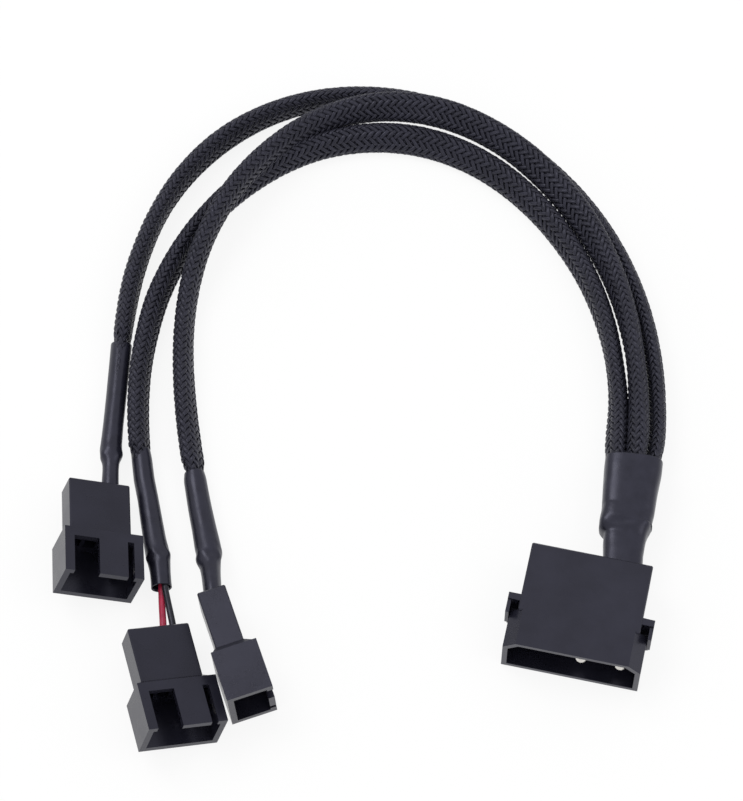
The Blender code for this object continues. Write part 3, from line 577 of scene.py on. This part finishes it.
trunk = seen_tube(TRUNK_TUBE, SHRINK_STATIONS, TRUNK_SQUARENESS, TRUNK_FOLDS, open_end=True)
add_shrink("shrink_trunk", trunk, "trunk_shrink", "trunk_neck_shrink")

branch_a = seen_tube(BRANCH_TUBE_A, SHRINK_STATIONS, folds=BRANCH_FOLDS_A)
add_shrink("shrink_a", branch_a, "branch_shrink_a", "neck_shrink_a")

branch_b = seen_tube(BRANCH_TUBE_B, SHRINK_STATIONS, folds=BRANCH_FOLDS_B, open_end=True)
add_shrink("shrink_b", branch_b, "branch_shrink_b")

branch_c = seen_tube(BRANCH_TUBE_C, SHRINK_STATIONS, folds=BRANCH_FOLDS_C)
add_shrink("shrink_c", branch_c, "branch_shrink_c", "neck_shrink_c")

add_wire("wire_b_red", seen_tube(RED_WIRE_TUBE, WIRE_STATIONS), RED, "wire_red", "fan_wire_b_red")
add_wire("wire_b_black", seen_tube(BLACK_WIRE_TUBE, WIRE_STATIONS), BLACK, "wire_black", "fan_wire_b_black")


# The supply plug's ground contact hangs loose in its way, so its tip lies aside and a little deeper

SUPPLY_PLACE = (0.03685, -0.0050)
SUPPLY_TURN = radians(-12.3)
SHANK_RADIUS = 2.13 / 2 * MM
BARREL_RADIUS = 2.9 / 2 * MM
CONTACT_SIDES = 32
NOSE_STATIONS = 9
TIP_SHARE = 0.04  # the flat on the nose's end, as a share of the shank
# Behind the nose, (mm from the rear, radius) of the rounded rim, the barrel, the shank and its groove
CONTACT_PROFILE = (
    (0.0, BARREL_RADIUS * 0.6), (0.1, BARREL_RADIUS), (3.9, BARREL_RADIUS), (4.3, SHANK_RADIUS),
    (9.0, SHANK_RADIUS), (9.1, SHANK_RADIUS * 0.93), (9.4, SHANK_RADIUS * 0.93), (9.5, SHANK_RADIUS),
)
CONTACT_REAR = (2.54, -3.0, 4.6)  # in mm, in the plug's own frame
CONTACT_TIP = (1.25, -16.8, 4.6)


def in_supply_plug(x, y, z):
    """A place given in mm in the plug's own frame, in metres in the shared one."""
    x, y, z = x * MM, y * MM, z * MM
    cosine, sine = np.cos(SUPPLY_TURN), np.sin(SUPPLY_TURN)
    return np.array([SUPPLY_PLACE[0] + x * cosine - y * sine, SUPPLY_PLACE[1] + x * sine + y * cosine, z])


def loose_contact(name, rear, tip, replaced):
    travel = np.linalg.norm(tip - rear)
    heading = (tip - rear) / travel
    aside = unit(np.cross(heading, (0.0, 0.0, 1.0)))
    up = np.cross(aside, heading)
    stations = [(along * MM, radius) for along, radius in CONTACT_PROFILE]
    for turn in np.linspace(0.0, pi / 2, NOSE_STATIONS):
        along = travel - SHANK_RADIUS * (1 - np.sin(turn))
        stations.append((along, SHANK_RADIUS * max(TIP_SHARE, np.cos(turn))))
    angle = np.linspace(0.0, 2 * pi, CONTACT_SIDES, endpoint=False)[:, None]
    circle = aside * np.cos(angle) + up * np.sin(angle)
    rings = np.array([rear + heading * along + radius * circle for along, radius in stations])
    look = finished(f"{name}_metal", "metal", METAL, metallic=1.0)
    add(name, skin(name, rings), look, "contact", replaced)


loose_contact("contact_supply_ground", in_supply_plug(*CONTACT_REAR), in_supply_plug(*CONTACT_TIP),
              "supply_pin_ground")


# Housings: the solids' own shapes with their edges rounded

WELD = 1e-6
FLAT_ANGLE = radians(1.0)
SHARP_ANGLE = radians(50)
SHORT_EDGE = 0.0004
EDGE_ROUND = 0.00014
SUPPLY_GLOSS, FAN_GLOSS = 0.60, 0.50


def rounded_housing(name, piece_name, gloss):
    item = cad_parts[name]
    shape = bmesh.new()
    shape.from_mesh(item.data)
    shape.transform(item.matrix_world)
    bmesh.ops.remove_doubles(shape, verts=shape.verts, dist=WELD)
    bmesh.ops.dissolve_limit(shape, angle_limit=FLAT_ANGLE, verts=shape.verts, edges=shape.edges)
    sharp = [
        edge for edge in shape.edges
        if len(edge.link_faces) == 2 and edge.calc_face_angle(0.0) > SHARP_ANGLE
        and edge.calc_length() > SHORT_EDGE
    ]
    bmesh.ops.bevel(shape, geom=sharp, offset=EDGE_ROUND, segments=2, profile=0.5, affect="EDGES",
                    clamp_overlap=True)
    mesh = bpy.data.meshes.new(piece_name)
    shape.to_mesh(mesh)
    shape.free()
    mesh.shade_flat()
    add(piece_name, mesh, finished(f"{piece_name}_plastic", "plastic", PLASTIC, gloss), "housing", name)


rounded_housing("supply_plug_housing", "housing_supply", SUPPLY_GLOSS)
for key in "abc":
    rounded_housing(f"fan_plug_housing_{key}", f"housing_fan_{key}", FAN_GLOSS)


# The parts that stay as the solids made them

for name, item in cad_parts.items():
    if item.hide_render:
        continue
    if "pin" in name:
        look = finished(f"{name}_metal", "metal", METAL, metallic=1.0)
    elif "red" in name:
        look = finished(f"{name}_jacket", "insulation", RED)
    else:
        look = finished(f"{name}_jacket", "insulation", BLACK)
    item.data.materials.clear()
    item.data.materials.append(look)


# Floor, backdrop and light

FLOOR_REACH = 3
FLOOR_SHADE = 0.9
FLOOR_ROUGHNESS = 0.9
FLOOR_GLOSS = 0.1
GLOW_STRENGTH = 1.02
GLOW_SHARE = 0.85
WORLD_STRENGTH = 0.75
# Each light: its place, its diameter and its power
LIGHTS = {"key": ((-0.5, 0.35, 0.9), 0.6, 3.0), "fill": ((0.7, -0.2, 0.8), 0.7, 1.2)}
LIT_PLACE = (0, 0.02, 0)


def shown_white(material):
    """White to the camera and in reflections, with the surface's own shadow kept in part."""
    material.use_nodes = True
    tree = material.node_tree
    shader = tree.nodes["Principled BSDF"]
    shader.inputs["Base Color"].default_value = (FLOOR_SHADE, FLOOR_SHADE, FLOOR_SHADE, 1.0)
    shader.inputs["Roughness"].default_value = FLOOR_ROUGHNESS
    shader.inputs["Specular IOR Level"].default_value = FLOOR_GLOSS
    glow = node(tree, "ShaderNodeEmission")
    glow.inputs["Strength"].default_value = GLOW_STRENGTH
    path = node(tree, "ShaderNodeLightPath")
    seen = path.outputs["Is Camera Ray"]
    for other in ("Is Glossy Ray", "Is Transmission Ray"):
        both = node(tree, "ShaderNodeMath", operation="MAXIMUM")
        tree.links.new(seen, both.inputs[0])
        tree.links.new(path.outputs[other], both.inputs[1])
        seen = both.outputs["Value"]
    scaled = node(tree, "ShaderNodeMath", operation="MULTIPLY", in_1=GLOW_SHARE)
    tree.links.new(seen, scaled.inputs[0])
    mix = node(tree, "ShaderNodeMixShader")
    tree.links.new(scaled.outputs["Value"], mix.inputs["Fac"])
    tree.links.new(shader.outputs["BSDF"], mix.inputs[1])
    tree.links.new(glow.outputs["Emission"], mix.inputs[2])
    tree.links.new(mix.outputs["Shader"], tree.nodes["Material Output"].inputs["Surface"])
    return material


corners = [(x * FLOOR_REACH, y * FLOOR_REACH, 0) for x, y in ((-1, -1), (1, -1), (1, 1), (-1, 1))]
floor_mesh = bpy.data.meshes.new("floor")
floor_mesh.from_pydata(corners, [], [(0, 1, 2, 3)])
floor = bpy.data.objects.new("floor", floor_mesh)
bpy.context.scene.collection.objects.link(floor)
floor_mesh.materials.append(shown_white(bpy.data.materials.new("floor_white")))

world = bpy.data.worlds.new("studio")
bpy.context.scene.world = world
world.use_nodes = True
background = world.node_tree.nodes["Background"]
background.inputs["Color"].default_value = (1.0, 1.0, 1.0, 1.0)
background.inputs["Strength"].default_value = WORLD_STRENGTH

for name, (place, size, power) in LIGHTS.items():
    light = bpy.data.lights.new(name, "AREA")
    light.shape = "DISK"
    light.size = size
    light.energy = power
    lamp = bpy.data.objects.new(name, light)
    lamp.location = place
    lamp.rotation_euler = (Vector(LIT_PLACE) - Vector(place)).to_track_quat("-Z", "Y").to_euler()
    bpy.context.scene.collection.objects.link(lamp)

bpy.context.scene.view_settings.view_transform = "Standard"
